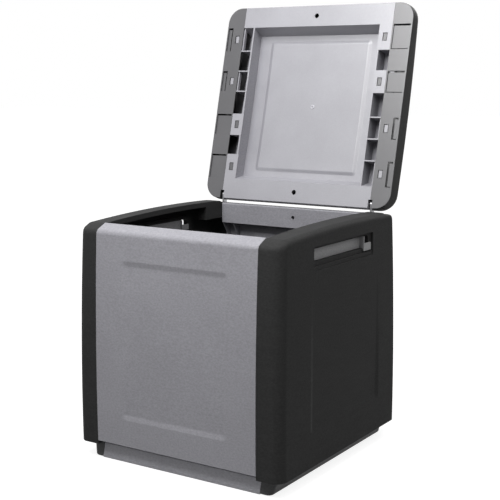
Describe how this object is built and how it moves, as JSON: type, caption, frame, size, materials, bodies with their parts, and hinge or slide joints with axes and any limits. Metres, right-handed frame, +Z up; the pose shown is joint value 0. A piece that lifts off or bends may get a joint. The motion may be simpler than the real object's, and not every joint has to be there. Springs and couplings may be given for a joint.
{
  "type": "garden storage box",
  "caption": "Square upright garden storage box of seamed plastic panels on a skirted base, with side hand slots and a tray-backed lid on a rear hinge, held open.",
  "frame": {"origin": "middle of the footprint, on the floor that the base stands on", "axes": "+X to the right seen from the front, +Y to the back, where the lid is hinged, +Z up"},
  "size_m": [0.54, 0.6618, 1.03],
  "materials": {
    "grey_plastic": "fine grained mouldings, satin under the lid",
    "dark_plastic": "fine grained mouldings, satin under the lid",
    "hinge_steel": "zinc plated"
  },
  "bodies": {
    "box": {"base_center": "grey_plastic", "left_base_rail": "dark_plastic", "right_base_rail": "dark_plastic", "front_panel": "grey_plastic", "back_panel": "grey_plastic", "left_side_panel": "dark_plastic", "right_side_panel": "dark_plastic", "left_slot_insert": "grey_plastic", "right_slot_insert": "grey_plastic", "left_hinge_bracket": "hinge_steel", "right_hinge_bracket": "hinge_steel", "left_hinge_pin": "hinge_steel", "right_hinge_pin": "hinge_steel"},
    "lid": {"lid_center": "grey_plastic", "left_lid_cap": "dark_plastic", "right_lid_cap": "dark_plastic"}
  },
  "joints": [
    {"name": "lid_hinge", "type": "hinge", "parent": "box", "child": "lid", "pos_m": [0, 0.241, 0.557], "axis": [1, 0, 0], "range_deg": [0, 104]}
  ]
}
